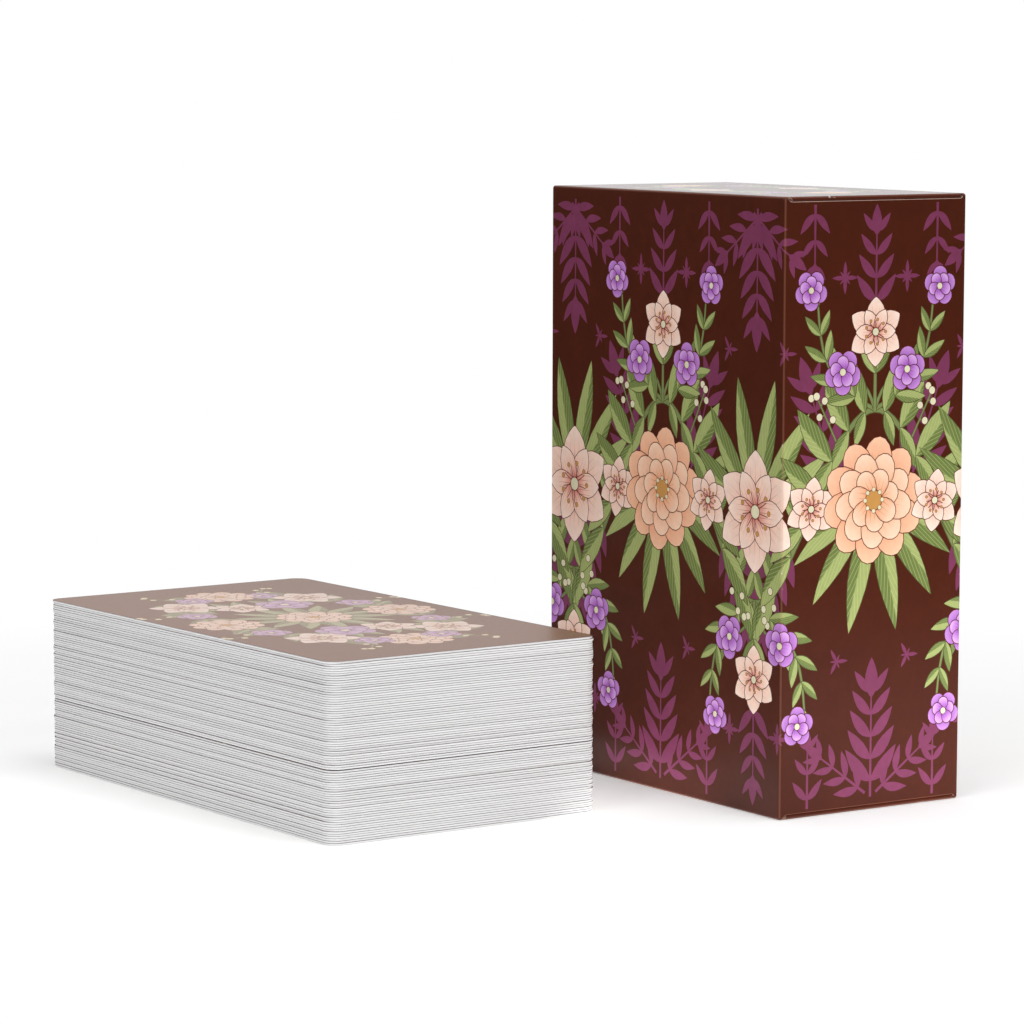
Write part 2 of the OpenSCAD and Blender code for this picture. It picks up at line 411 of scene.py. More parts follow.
class Art:
    """Shapes gathered in layers, the lowest first."""

    LAYERS = ("tonal", "stems", "leaves", "blooms")

    def __init__(self):
        self.layers = {name: [] for name in self.LAYERS}

    def shapes(self):
        return [shape for name in self.LAYERS for shape in self.layers[name]]

    def blade(self, layer, colour, root, angle, length, width, profile=leaf_form, bend=0.0, line=LINE,
              line_ink="line"):
        """A leaf or petal that grows from its root along an angle."""
        axis, side = polar(angle), side_of(polar(angle))
        for grow, fill in fills(colour, line, line_ink):
            spine = []
            for i in range(BLADE_STEPS + 1):
                t = (1 - cos(pi * i / BLADE_STEPS)) / 2
                centre = root + axis * (t * (length + 2 * grow) - grow) + side * (bend * length * t * t)
                spine.append((centre, side * (profile(t) * (width / 2 + grow))))
            self.layers[layer].append(Shape(band(spine), fill, root, axis, length, width / 2))

    def leaf(self, root, angle, length, width, bend=0.0):
        self.blade("leaves", "leaf", root, angle, length, width, bend=bend, line_ink="moss")

    def disc(self, colour, centre, r, line=LINE, line_ink="line", count=14, layer="blooms"):
        for grow, fill in fills(colour, line, line_ink):
            outline = [centre + polar(tau * i / count, r + grow) for i in range(count)]
            self.layers[layer].append(Shape(outline, fill, centre, polar(0.0), r, r))

    def stroke(self, layer, colour, path, start, end=None, line=0.0, line_ink="moss"):
        """A line of a width that runs from start to end."""
        end = start if end is None else end
        for grow, fill in fills(colour, line, line_ink):
            spine = []
            for i, point in enumerate(path):
                ahead = path[min(i + 1, len(path) - 1)] - path[max(i - 1, 0)]
                side = side_of(ahead.normalized())
                half = (start + (end - start) * i / (len(path) - 1)) / 2 + grow
                spine.append((point, side * half))
            self.layers[layer].append(Shape(band(spine), fill, path[0], polar(0.0), 1.0, 1.0))

    def stem(self, path, start, end=None, line=0.0):
        self.stroke("stems", "stem", path, start, end, line)

    def petals(self, colour, centre, count, length, width, turn, profile=petal_form):
        for i in range(count):
            self.blade("blooms", colour, centre, turn + tau * i / count, length, width, profile)

    def seeds(self, centre, count, distance, r, colour="ochre"):
        for i in range(count):
            self.disc(colour, centre + polar(tau * i / count, distance), r, 0.1, "umber", 8)

    def rosette(self, centre, r, turn=0.0):
        """A full round flower of three rings of petals."""
        self.petals("apricot", centre, 10, r, 0.56 * r, turn)
        self.petals("peach", centre, 9, 0.76 * r, 0.46 * r, turn + 0.3)
        self.petals("peach", centre, 7, 0.5 * r, 0.36 * r, turn + 0.1)
        self.disc("ochre", centre, 0.16 * r)
        self.seeds(centre, 8, 0.17 * r, 0.035 * r, "cream")

    def star_flower(self, centre, r, turn=0.0):
        """An open flower of six pointed petals, with stamens."""
        self.petals("blush", centre, 6, r, 0.66 * r, turn, pointed_form)
        self.petals("blush", centre, 6, 0.72 * r, 0.42 * r, turn + pi / 6, pointed_form)
        for i in range(9):
            angle = turn + tau * i / 9
            self.stroke("blooms", "umber", [centre, centre + polar(angle, 0.34 * r)], 0.22)
        self.seeds(centre, 9, 0.36 * r, 0.04 * r)
        self.disc("cream", centre, 0.11 * r)

    def violet(self, centre, r, turn=0.0):
        """A small blossom of five round petals."""
        self.petals("violet", centre, 5, r, 0.86 * r, turn)
        self.petals("lilac", centre, 5, 0.7 * r, 0.6 * r, turn + pi / 5)
        self.disc("cream", centre, 0.16 * r, 0.12)

    def berries(self, root, angle, length, count=4):
        """A short spray of round berries."""
        tip = root + polar(angle, length)
        self.stem([root, tip], 0.4, 0.3, 0.12)
        for i in range(count):
            place = root + polar(angle, length * (0.45 + 0.55 * i / (count - 1)))
            berry = place + polar(angle + (1 if i % 2 else -1) * pi / 2.4, 1.5)
            self.stem([place, berry], 0.3)
            self.disc("cream", berry, 0.8, 0.14)
        self.disc("cream", tip, 0.85, 0.14)

    def frond(self, root, angle, length, pairs, colour="plum", layer="tonal"):
        """A flat tonal frond: a stalk with leaflets in pairs and one at the tip."""
        axis = polar(angle)
        self.stroke(layer, colour, [root, root + axis * length * 0.85], 0.7, 0.35)
        for i in range(pairs):
            t = 0.12 + 0.66 * i / max(1, pairs - 1)
            size = length * (0.34 - 0.14 * i / pairs)
            place = root + axis * length * t
            for side in (-1, 1):
                self.blade(layer, colour, place, angle + side * 0.95, size, 0.32 * size, bend=side * -0.2, line=0.0)
        self.blade(layer, colour, root + axis * length * 0.74, angle, 0.3 * length, 0.12 * length, line=0.0)

    def tonal_star(self, centre, r, count=8):
        for i in range(count):
            size = r if i % 2 == 0 else 0.55 * r
            self.blade("tonal", "plum", centre, tau * i / count, size, 0.28 * size, line=0.0)


# The sleeve, unrolled from its seam: s runs along the outside, to the right as seen from in front of a wall

SEAM_EDGES = (radians(160), radians(166))
Stretch = namedtuple("Stretch", "start length centre angle wall")


def sleeve_stretches():
    """The sleeve's walls and folds in order. A wall has a point and a heading, a fold a centre and an angle."""
    x, y = carton_w / 2 - fold_r, carton_d / 2 - fold_r
    wide, narrow = 2 * x, 2 * y
    plan = [
        ((-x, y), SEAM_EDGES[1], pi, ""),
        ((-x, y), pi, narrow, "hinge"),
        ((-x, -y), pi, 1.5 * pi, ""),
        ((-x, -y), 1.5 * pi, wide, "front"),
        ((x, -y), 1.5 * pi, tau, ""),
        ((x, -y), 0.0, narrow, "tuck"),
        ((x, y), 0.0, pi / 2, ""),
        ((x, y), pi / 2, wide, "back"),
        ((-x, y), pi / 2, SEAM_EDGES[0], ""),
    ]
    out, s = [], 0.0
    for centre, angle, extent, wall in plan:
        length = extent if wall else fold_r * (extent - angle)
        out.append(Stretch(s, length, Vector(centre), angle, wall))
        s += length
    return out, s


STRETCHES, ROUND = sleeve_stretches()
WALLS = {t.wall: t for t in STRETCHES if t.wall}

# The sleeve's art: a vine that winds round all four walls, with a flower in each of its bends

SLEEVE_WAVES = 4
WAVE = ROUND / SLEEVE_WAVES
VINE_START = WALLS["front"].start + WALLS["front"].length / 2
VINE_RISE = 21.0
VINE_STEPS = 40


def vine_at(s):
    return xy(s, carton_h / 2 + VINE_RISE * cos(tau * (s - VINE_START) / WAVE))


def sleeve_art():
    """The bends repeat a whole number of times round the carton, with a crest at the middle of each wall."""
    art = Art()
    first, last = VINE_START - WAVE, VINE_START + ROUND + WAVE
    count = VINE_STEPS * (SLEEVE_WAVES + 2)
    path = [vine_at(first + (last - first) * i / count) for i in range(count + 1)]
    art.stem(path, 1.1, line=0.22)
    for k in range(-2, 2 * SLEEVE_WAVES + 2):
        bend_art(art, VINE_START + k * WAVE / 2, 1 if k % 2 == 0 else -1)
    return art.shapes()


def arc(start, end, bulge, count=10):
    """Points from start to end along a bow that swells to the left by bulge."""
    ahead, side = end - start, side_of(end - start)
    shares = [i / count for i in range(count + 1)]
    return [start + ahead * t + side * (bulge * sin(pi * t)) for t in shares]


SPRIG_LEAN = 0.7


def sprig(art, path, pairs, length):
    """A curved green stalk with slender leaves in pairs and one at its tip."""
    art.stem(path, 0.8, 0.4, 0.16)
    last = len(path) - 1
    for i in range(pairs):
        at = round(last * (0.15 + 0.7 * i / max(1, pairs - 1)))
        ahead = path[min(at + 1, last)] - path[max(at - 1, 0)]
        angle = atan2(ahead.y, ahead.x)
        size = length * (1 - 0.4 * i / pairs)
        for hand in (-1, 1):
            art.leaf(path[at], angle + hand * SPRIG_LEAN, size, 0.32 * size, bend=-hand * 0.1)
    ahead = path[last] - path[last - 1]
    art.leaf(path[last], atan2(ahead.y, ahead.x), 0.7 * length, 0.24 * length)


# Radii of the flowers of a bend, from the largest
ROSETTE_R, STAR_R, CREST_STAR_R, VINE_STAR_R, VIOLET_R, TIP_VIOLET_R = 14.0, 13.5, 7.6, 7.0, 5.0, 4.4

# Leaves along the vine: place from a crest towards the next bend, lean and length
VINE_LEAVES = ((0.16, 0.35, 11.0), (0.42, 0.6, 14.0), (0.68, 0.8, 15.0), (0.9, 1.0, 13.0))
FAN_LEANS = (-1.15, -0.72, -0.25, 0.25, 0.72, 1.15)


def bend_art(art, s, sign):
    """What grows in and round one bend of the vine. Sign is +1 where the bend is a crest."""
    up = pi / 2 * sign
    centre = xy(s, carton_h / 2 + sign * 1.0)
    crest = xy(s, carton_h / 2 + sign * VINE_RISE)
    art.stem(arc(vine_at(s - WAVE / 4), centre, sign * 0.35), 0.9, 0.6, 0.18)
    for hand in (-1, 1):
        for reach, lean, length in VINE_LEAVES:
            place = vine_at(s + hand * WAVE / 4 * reach)
            art.leaf(place, up - hand * lean, length, 0.34 * length, bend=hand * 0.12)
            art.leaf(place, -up + hand * (0.35 + 0.5 * reach), 0.72 * length, 0.25 * length, bend=-hand * 0.1)
        tip = crest + xy(hand * 16.0, sign * 23.0)
        sprig(art, arc(crest, tip, -hand * sign * 0.18), 4, 8.5)
        art.berries(vine_at(s + hand * WAVE / 7), up - hand * 0.5, 13.0)
        art.violet(tip + polar(up - hand * 0.5, 4.0), TIP_VIOLET_R, 0.3 * hand)
        small = crest + xy(hand * 9.0, sign * 8.5)
        art.stem(arc(crest, small, hand * sign * 0.15, 6), 0.7, 0.4, 0.15)
        art.violet(small, VIOLET_R, 0.3 * hand)
    for lean in FAN_LEANS:
        size = 27.0 - 5.0 * abs(lean)
        art.leaf(centre + polar(-up + lean, 4.0), -up + lean, size, 0.22 * size, bend=-0.12 * lean)
    if sign > 0:
        art.rosette(centre, ROSETTE_R, 0.2)
    else:
        art.star_flower(centre, STAR_R, pi / 6)
    art.star_flower(vine_at(s + WAVE / 4), VINE_STAR_R, 0.4)
    top = crest + xy(0, sign * 17.0)
    art.stem([crest, top], 0.8, 0.5, 0.15)
    for hand in (-1, 1):
        art.leaf(crest + xy(0, sign * 8.0), up + hand * 0.5, 9.0, 3.2)
    art.star_flower(top, CREST_STAR_R, up)
    tonal_bend(art, s, sign)


def tonal_bend(art, s, sign):
    """The flat plum shapes behind one bend, up to the carton's ends."""
    up, middle = pi / 2 * sign, carton_h / 2
    art.frond(xy(s, middle + sign * 42.0), up, 23.0, 4)
    far = xy(s, middle - sign * 65.0)
    art.frond(far, up, 30.0, 5)
    for hand in (-1, 1):
        art.frond(far + xy(hand * 1.5, sign * 1.0), up - hand * 0.95, 20.0, 4)
        art.frond(xy(s + hand * 17.0, middle + sign * 66.0), -up, 17.0, 3)
        art.frond(xy(s + hand * 10.0, middle + sign * 4.0), up - hand * 0.35, 30.0, 5)
        art.tonal_star(xy(s + hand * WAVE / 8, middle + sign * 50.0), 3.6)
        art.tonal_star(xy(s + hand * WAVE / 7, middle - sign * 34.0), 3.2, 6)


OVAL_STEPS = 96


def wreath(art, centre, a, b, blooms, r):
    """An oval garland of flowers and leaves round a centre."""
    count, half = OVAL_STEPS, OVAL_STEPS // 2
    turns = [tau * i / count for i in range(count + 1)]
    oval = [centre + xy(a * cos(turn), b * sin(turn)) for turn in turns]
    art.stem(oval[: half + 1], 0.9, line=0.18)
    art.stem(oval[half:], 0.9, line=0.18)
    for i in range(blooms):
        at = count * i // blooms
        place, ahead = oval[at], oval[(at + 1) % count] - oval[at - 1]
        out = atan2(ahead.y, ahead.x) - pi / 2
        if i % 2 == 0:
            (art.rosette if i % 4 == 0 else art.star_flower)(place, r, out)
        else:
            art.violet(place, 0.55 * r, out)
        for step in (-3, -2, 2, 3):
            near = oval[(at + step * count // blooms // 6) % count]
            art.leaf(near, out + 0.75 + 0.1 * step, 1.05 * r, 0.4 * r)
            art.leaf(near, out + pi - 0.75 + 0.1 * step, 0.85 * r, 0.34 * r)
        if i % 2:
            art.berries(place, out, 1.5 * r, 3)


def end_art(length, width):
    """The lid's art, and the base's: a garland with tonal fronds in the corners."""
    art = Art()
    centre = xy(length / 2, 0)
    wreath(art, centre, 0.31 * length, 0.26 * width, 8, 5.5)
    art.tonal_star(centre, 7.0)
    for x in (-1, 1):
        for y in (-1, 1):
            corner = centre + xy(x * (length / 2 - 4), y * (width / 2 - 4))
            art.frond(corner, atan2(-y, -x) + 0.12 * x * y, 15.0, 4)
            art.frond(corner, atan2(-y * 0.15, -x), 15.0, 4)
    return art.shapes()


CARD_R = 3.2


def card_outline(length, width, inset=0.0):
    r = max(CARD_R - inset, 0.3)
    x, y = length / 2 - inset - r, width / 2 - inset - r
    corners = ((x, y, 0.0), (-x, y, 0.5), (-x, -y, 1.0), (x, -y, 1.5))
    steps = [0.5 * i / ARC_STEPS for i in range(ARC_STEPS + 1)]
    return [xy(cx, cy) + polar(pi * (turn + step), r) for cx, cy, turn in corners for step in steps]


def card_panel(length, width, inset, colour):
    return Shape(card_outline(length, width, inset), colour, ORIGIN, polar(0.0), 100.0, 100.0)


# The pale rim round a card's back, and round its face
BACK_RIM, FACE_RIM = 0.25, 0.2
INNER_OVAL = (25.0, 11.5)
MIDDLE_LEAVES = 14


def card_back(length, width):
    """The backs' art, the same from both ends: a garland with flowers in its middle."""
    art = Art()
    wreath(art, ORIGIN, 0.34 * length, 0.33 * width, 16, 8.5)
    for end in (0.0, pi):
        for turn, flower in ((pi / 6, art.star_flower), (-pi / 6, art.violet)):
            place = xy(INNER_OVAL[0] * cos(end + turn), INNER_OVAL[1] * sin(end + turn))
            for lean in (-0.9, -0.3, 0.3, 0.9):
                angle = end + turn + lean
                art.leaf(place + polar(angle, 2.0), angle, 9.0, 3.2)
            flower(place, 7.0, end + turn)
    for i in range(MIDDLE_LEAVES):
        angle = tau * (i + 0.5) / MIDDLE_LEAVES
        art.leaf(ORIGIN + polar(angle, 4.0), angle, 15.0, 4.6, 0.08)
    art.rosette(ORIGIN, 9.0)
    return art.shapes()


def card_face(length, width, emblem):
    """A face's art: a double frame and one plain emblem."""
    art = Art()
    emblem(art)
    frame_lines = [(4.0, "umber"), (4.5, "face"), (5.3, "umber"), (5.5, "face")]
    return [card_panel(length, width, *frame_line) for frame_line in frame_lines] + art.shapes()


def coin_emblem(art):
    art.disc("ochre", ORIGIN, 19.0, 0.4, "umber", 48, "leaves")
    art.disc("face", ORIGIN, 16.5, 0.3, "umber", 48, "leaves")
    art.petals("peach", ORIGIN, 5, 15.0, 8.0, 0.0, pointed_form)
    art.disc("ochre", ORIGIN, 3.0)
    for x in (-1, 1):
        art.frond(xy(x * 46.0, 0), 0.0 if x < 0 else pi, 24.0, 5, "moss", "leaves")


def staff_emblem(art):
    art.stroke("stems", "umber", [xy(-42, 0), xy(0, 0.8), xy(42, 0)], 3.0, 2.2, 0.3, "line")
    for i in range(7):
        for side in (-1, 1):
            art.leaf(xy(-30 + 10 * i, side * 0.8), side * 0.9, 11.0, 4.6, -side * 0.1)


def sun_emblem(art):
    for i in range(16):
        size = 25.0 if i % 2 == 0 else 19.0
        art.blade("leaves", "ochre" if i % 2 == 0 else "peach", ORIGIN, tau * i / 16, size, 6.0)
    art.disc("ochre", ORIGIN, 10.5, 0.4, "umber", 40)
    art.disc("cream", ORIGIN, 8.5, 0.2, "umber", 40)
    art.tonal_star(ORIGIN, 6.0)


# Printed sheets: a flat sheet cut along its artwork, then laid on the surface it covers


# What delaunay_2d_cdt gives back: triangles inside the outlines, or all over the hull
INSIDE, HULL = 1, 0
MERGE = 1e-5


def cut(grounds, shapes, folds):
    """Corners, and triangles with the number of the shape on top of each, or -1 on the bare sheet."""
    loops = list(grounds) + [shape.outline for shape in shapes]
    corners, chains = [], []
    for chain in loops + folds:
        chains.append(list(range(len(corners), len(corners) + len(chain))))
        corners.extend(chain)
    faces, edges = chains[: len(loops)], chains[len(loops) :]
    points, lines, triangles, _, origins, owners = delaunay_2d_cdt(corners, edges, faces, INSIDE, MERGE, True)
    kept, tops = [], []
    for triangle, owner in zip(triangles, owners):
        if owner and min(owner) < len(grounds):
            middle = sum((points[i] for i in triangle), ORIGIN) / 3
            over = (i for i in sorted(owner, reverse=True) if i >= len(grounds) and within(loops[i], middle))
            kept.append(triangle)
            tops.append(next(over, len(grounds) - 1) - len(grounds))
    creases = {frozenset(ends) for ends, origin in zip(lines, origins) if any(i < len(edges) for i in origin)}
    return joined(points, kept, tops, creases)


def edges_of(triangles):
    """Each triangle's edges in order, with the triangle's number."""
    return {(t[i], t[(i + 1) % 3]): n for n, t in enumerate(triangles) for i in range(3)}


def packed(points, groups):
    """The points that the groups use, and the groups in terms of them."""
    used = sorted({i for group in groups for i in group})
    number = {old: new for new, old in enumerate(used)}
    return [points[i] for i in used], [[number[i] for i in group] for group in groups]


def joined(points, triangles, tops, creases):
    """The sheet cut afresh along what shows and along its creases, without hidden outlines."""
    owner = edges_of(triangles)
    sides = {}
    for (a, b), n in owner.items():
        across = tops[owner[b, a]] if (b, a) in owner else None
        if (b, a) not in sides and (across != tops[n] or frozenset((a, b)) in creases):
            sides[a, b] = (tops[n], across)
    corners, edges = packed(points, sides)
    beside = list(sides.values())
    points, lines, triangles, _, origins, _ = delaunay_2d_cdt(corners, edges, [], HULL, MERGE, True)
    owner = edges_of(triangles)
    known, walls = {}, set()
    for (a, b), origin in zip(lines, origins):
        if origin:
            walls |= {(a, b), (b, a)}
            start, end = edges[origin[0]]
            left, right = beside[origin[0]]
            if (points[b] - points[a]).dot(corners[end] - corners[start]) < 0:
                left, right = right, left
            for edge, top in (((a, b), left), ((b, a), right)):
                if edge in owner:
                    known[owner[edge]] = top
    queue = list(known)
    for n in queue:
        a, b, c = triangles[n]
        for edge in ((b, a), (c, b), (a, c)):
            if edge in owner and edge not in walls and owner[edge] not in known:
                known[owner[edge]] = known[n]
                queue.append(owner[edge])
    kept = [n for n in range(len(triangles)) if known.get(n) is not None]
    return *packed(points, [triangles[n] for n in kept]), [known[n] for n in kept]


def within(loop, point):
    """Whether a loop goes round a point."""
    inside = False
    x, y = point
    ax, ay = loop[-1]
    for bx, by in loop:
        if (ay > y) != (by > y) and x < ax + (y - ay) * (bx - ax) / (by - ay):
            inside = not inside
        ax, ay = bx, by
    return inside


def rim(triangles):
    """The sheet's border as one loop of corners."""
    edges = edges_of(triangles)
    ahead = {a: b for a, b in edges if (b, a) not in edges}
    loop = [min(ahead)]
    while ahead[loop[-1]] != loop[0]:
        loop.append(ahead[loop[-1]])
    assert len(loop) == len(ahead)
    return loop


def key_of(point):
    return round(point[0], 3), round(point[1], 3)


def new_object(name, data):
    item = bpy.data.objects.new(name, data)
    bpy.context.scene.collection.objects.link(item)
    return item


class Sheets:
    """Closed printed sheets that become one piece."""

    def __init__(self, inks):
        self.inks = inks
        self.corners, self.faces, self.slots, self.motifs, self.materials = [], [], [], [], []

    def slot(self, material):
        if material not in self.materials:
            self.materials.append(material)
        return self.materials.index(material)

    def face(self, corners, material, motif=None):
        self.faces.append(corners)
        self.slots.append(self.slot(material))
        self.motifs.extend(motif or [(0.0, 0.0, 0.0)] * len(corners))

    def side(self, points, triangles, tops, shapes, ground, place, depth, flip):
        first = len(self.corners)
        self.corners.extend(place(p, depth) for p in points)
        for triangle, top in zip(triangles, tops):
            order = triangle[::-1] if flip else triangle
            shape = shapes[top] if top >= 0 else None
            motif = shape and [motif_at(shape, points[i]) for i in order]
            self.face([first + i for i in order], self.inks[shape.ink] if shape else ground, motif)
        return first

    def add(self, grounds, front, back, folds, ground, bare, edge, place, depth):
        """One closed sheet, with art in front and at the back."""
        points, triangles, tops = cut(grounds, front, folds)
        border = rim(triangles)
        first = self.side(points, triangles, tops, front, ground, place, 0.0, False)
        back_points, back_triangles, back_tops = cut([[points[i] for i in border]], back, folds)
        back_first = self.side(back_points, back_triangles, back_tops, back, bare, place, depth, True)
        matching = {key_of(back_points[i]): i for i in rim(back_triangles)}
        for a, b in zip(border, border[1:] + border[:1]):
            below = [back_first + matching[key_of(points[i])] for i in (a, b)]
            self.face([first + b, first + a, *below], edge)

    def ball(self, centre, r, material):
        """A closed ball, where two creases meet at a corner."""
        rings, count = ARC_STEPS, 2 * ARC_STEPS
        first = len(self.corners)
        self.corners.append(centre + Vector((0, 0, r)))
        for i in range(1, rings):
            middle = centre + Vector((0, 0, r * cos(pi * i / rings)))
            reach = r * sin(pi * i / rings)
            self.corners.extend(middle + polar(tau * k / count, reach).to_3d() for k in range(count))
        self.corners.append(centre - Vector((0, 0, r)))
        last = len(self.corners) - 1
        for k in range(count):
            here, beside = first + 1 + k, first + 1 + (k + 1) % count
            self.face([first, here, beside], material)
            for _ in range(rings - 2):
                self.face([here, here + count, beside + count, beside], material)
                here, beside = here + count, beside + count
            self.face([here, last, beside], material)

    def piece(self, name, body, slot, *replaced):
        mesh = bpy.data.meshes.new(name)
        mesh.from_pydata([c * MM for c in self.corners], [], self.faces)
        for material in self.materials:
            mesh.materials.append(material)
        mesh.polygons.foreach_set("material_index", self.slots)
        motif = mesh.attributes.new("motif", "FLOAT_VECTOR", "CORNER")
        motif.data.foreach_set("vector", [x for m in self.motifs for x in m])
        mesh.update()
        piece = new_object(name, mesh)
        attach(piece, body)
        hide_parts(*replaced)


def motif_at(shape, point):
    away = Vector(point) - shape.origin
    return (away.dot(shape.axis) / shape.length, away.dot(side_of(shape.axis)) / shape.half, 0.0)


# The sleeve's sheet


def sleeve_place(point, depth):
    """The place on the sleeve of a point of the unrolled sheet, at a depth below its outside."""
    s, v = point
    stretch = next((t for t in STRETCHES if s <= t.start + t.length + ROUNDING), STRETCHES[-1])
    along = s - stretch.start
    if stretch.wall:
        out = polar(stretch.angle)
        foot = stretch.centre + side_of(out) * along
    else:
        out = polar(stretch.angle + along / fold_r)
        foot = stretch.centre
    upper = v > carton_h / 2
    z = v if upper else carton_h - v
    r = max(board - depth, CREASE_CORE)
    turn = max(0.0, z - fold_z) / board
    flat = foot + out * (fold_r - board + r * cos(turn))
    z = min(z, fold_z) + r * sin(turn)
    rim_r = EDGE_R - EDGE_RISE
    if stretch.wall == "tuck" and z > fold_z - rim_r - NEAR:
        z = fold_z - (fold_z - z) * (1 + EDGE_RISE / rim_r * depth / board)
    return Vector((flat.x, flat.y, z if upper else carton_h - z))


def tuck_edge(start, end):
    """The tuck wall's cut edge from one fold to the other, with its corners curved up."""
    inset = (end - start - lid_w) / 2 - LID_GAP
    left, right = start + inset + EDGE_R, end - inset - EDGE_R
    turns = [pi * i / ARC_STEPS / 2 for i in range(ARC_STEPS + 1)]
    curve = [(EDGE_R * cos(turn), (EDGE_R - EDGE_RISE) * sin(turn)) for turn in turns]
    return [xy(left - x, fold_z - y) for x, y in curve] + [xy(right + x, fold_z - y) for x, y in curve[::-1]]


# Widths of the pale line along the tuck wall's cut edge, and of the lighter brown line along its foot, a painted
# highlight
EDGE_LINE, FOOT_HIGHLIGHT = 0.26, 0.3


def sleeve_sheet():
    """All walls, with a crease at each end of all but the tuck wall, whose ends are cut edges."""
    foot = carton_h - fold_z
    tuck = WALLS["tuck"]
    edge = tuck_edge(tuck.start, tuck.start + tuck.length)
    upper = [xy(ROUND, fold_z), *edge[::-1], xy(0, fold_z)]
    grounds = [[xy(p.x, carton_h - p.y) for p in upper[::-1]] + upper]
    folds = []
    crease = board * CREASE_TURN
    for stretch in STRETCHES:
        start, end = stretch.start, stretch.start + stretch.length
        if not stretch.wall:
            steps = max(1, round(stretch.length / (fold_r * pi / 2) * ARC_STEPS))
            for i in range(steps + 1):
                s = start + stretch.length * i / steps
                folds.append((xy(s, foot), xy(s, fold_z)))
        elif stretch.wall != "tuck":
            for turn_over in (lambda v: v, lambda v: carton_h - v):
                bottom, top = sorted((turn_over(fold_z), turn_over(fold_z + crease)))
                grounds.append([xy(start, bottom), xy(end, bottom), xy(end, top), xy(start, top)])
                for i in range(2 * ARC_STEPS):
                    v = turn_over(fold_z + crease * i / (2 * ARC_STEPS))
                    folds.append((xy(start, v), xy(end, v)))
    bare_edge = Art()
    bare_edge.stroke("blooms", "edge", edge, EDGE_LINE)
    # Along the foot a lighter brown line: painted highlight
    bare_edge.stroke("blooms", "rubbed", [xy(p.x, carton_h - p.y) for p in edge], FOOT_HIGHLIGHT)
    sheets = Sheets(CARTON_INKS)
    art = sleeve_art() + bare_edge.shapes()
    sheets.add(grounds, art, [], folds, *BOARD_INKS, sleeve_place, board)
    for x, y in ((tab_fold_x, -1), (tab_fold_x, 1), (hinge_x, -1)):
        for z in (fold_z, foot):
            sheets.ball(Vector((x, y * (carton_d / 2 - board), z)), board, CARTON_INKS["ground"])
    sheets.piece("printed_sleeve", "carton", "carton_board", "carton_sleeve")


# The lid, and the base as its mirror: a runs from the hinge to the tuck tab and on round its fold

# Distance of the lid's rear edge from the hinge's axis
LID_START = 0.43


def end_place(mirrored):
    def place(point, depth):
        a, b = point
        x, z = hinge_x + LID_START + a, carton_h
        clear = board + CREASE_GAP
        if x > tab_fold_x + ROUNDING:
            turn = pi / 2 - (x - tab_fold_x) / board
            r = max(board - depth, CREASE_CORE)
            x, z = tab_fold_x + r * cos(turn), fold_z + r * sin(turn)
        else:
            z -= min(depth, board - sqrt(max(0.0, clear**2 - (x - hinge_x) ** 2)))
        return Vector((x, -b, carton_h - z)) if mirrored else Vector((x, b, z))

    return place


def end_sheet(name, body, node, mirrored):
    length = tab_fold_x - hinge_x - LID_START
    crease = board * TAB_CREASE_TURN
    half = lid_w / 2
    turns = [i / ARC_STEPS * pi / 2 for i in range(ARC_STEPS + 1)]
    side = [xy(length + board * turn, half - board * (1 - cos(turn))) for turn in turns]
    side.append(xy(length + crease, half - board))
    outline = [xy(0, half), xy(0, -half)] + [xy(p.x, -p.y) for p in side] + side[::-1]
    clear_end = board + CREASE_GAP - LID_START
    bends = [length + crease * i / (2 * ARC_STEPS) for i in range(2 * ARC_STEPS)]
    bends += [clear_end * i / 4 for i in range(1, 5)]
    folds = [(xy(a, -half), xy(a, half)) for a in bends]
    sheets = Sheets(CARTON_INKS)
    sheets.add([outline], end_art(length, lid_w), [], folds, *BOARD_INKS, end_place(mirrored), board)
    sheets.piece(name, body, "carton_board", node)


# Cards


def card_spot(node, level):
    """Centre, turn, length and width of the card of a node that has a face at that height."""
    mesh = nodes[node].data
    at_level = [v.co.to_2d() / MM for v in mesh.vertices if abs(v.co.z / MM - level) < NEAR]
    longest = ORIGIN
    for polygon in mesh.polygons:
        if abs(polygon.normal.z) < 0.5:
            ends = [mesh.vertices[i].co / MM for i in polygon.vertices]
            for a, b in zip(ends, ends[1:] + ends[:1]):
                edge = (b - a).to_2d()
                off_level = max(abs(a.z - level), abs(b.z - level))
                if off_level < NEAR and edge.length > longest.length:
                    longest = edge
    axis = longest.normalized() * (1 if longest.x > 0 else -1)
    side = side_of(axis)
    xs, ys = [p.dot(axis) for p in at_level], [p.dot(side) for p in at_level]
    centre = axis * (min(xs) + max(xs)) / 2 + side * (min(ys) + max(ys)) / 2
    return centre, axis, max(xs) - min(xs), max(ys) - min(ys)


def card_sheets(name, body, node, back_on=None, face_on=None, emblem=None):
    """A node's cards, with the back's art on one of them and a face's art on one."""
    sheets = Sheets(CARD_INKS)
    heights = levels_of(node)
    for i, (bottom, top) in enumerate(zip(heights[::2], heights[1::2])):
        centre, axis, length, width = card_spot(node, top)

        def place(point, depth, centre=centre, axis=axis, top=top):
            flat = centre + axis * point[0] + side_of(axis) * point[1]
            return Vector((flat.x, flat.y, top - depth))

        front = [card_panel(length, width, BACK_RIM, "ground")]
        rear = [card_panel(length, width, FACE_RIM, "face")]
        if i == back_on:
            front += card_back(length, width)
        if i == face_on:
            rear += card_face(length, width, emblem)
        stock = 3 * (STOCK[body],)
        sheets.add([card_outline(length, width)], front, rear, [], *stock, place, top - bottom)
    sheets.piece(name, body, "card_stock", node)


CARTON_INKS, CARD_INKS = make_inks(CARTON), make_inks(CARDS)
# Ground, bare side and cut edge of the carton's board
BOARD_INKS = (CARTON_INKS["ground"], board_inside(), CARTON_INKS["edge"])
STOCK = {
    "lower_packet": card_stock("card_stock_lower", 0.0),
    "upper_packet": card_stock("card_stock_upper", cut_offset),
}
STOCK["top_card"] = STOCK["upper_packet"]

